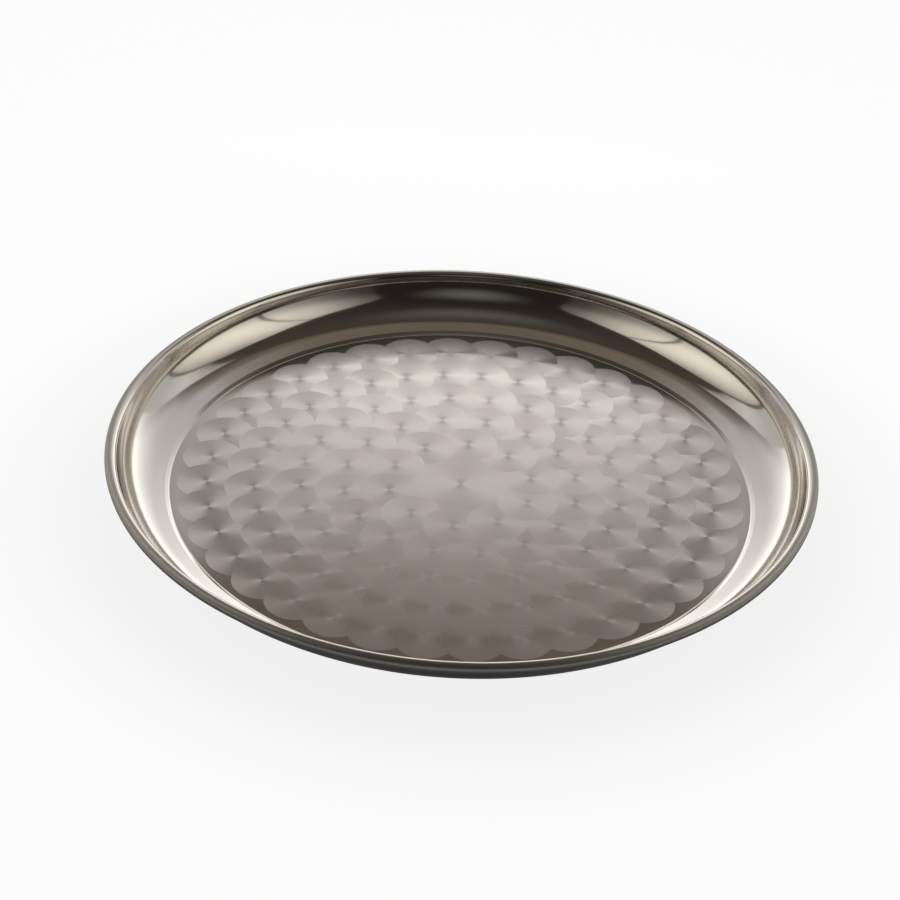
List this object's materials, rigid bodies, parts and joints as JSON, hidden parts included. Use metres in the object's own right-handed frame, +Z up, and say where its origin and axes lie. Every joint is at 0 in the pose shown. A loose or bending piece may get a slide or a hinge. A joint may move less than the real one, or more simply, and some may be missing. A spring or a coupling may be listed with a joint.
{
  "type": "dinner plate",
  "caption": "Shallow round steel plate with a flat stepped floor, a cove wall and a rounded lip whose edge is rolled over a wire hoop.",
  "frame": {"origin": "centre of the underside, on the surface that the plate rests on", "axes": "+Z up, along the plate's axis of revolution; X and Y lie in the floor"},
  "size_m": [0.28, 0.28, 0.0202],
  "materials": {
    "plate_steel": "stainless sheet, mirror-polished wall and lip, engine-turned floor of overlapping round brushed spots",
    "wire_steel": "plain drawn steel wire"
  },
  "bodies": {
    "root": {"plate_body": "plate_steel", "rim_wire": "wire_steel"}
  },
  "joints": []
}
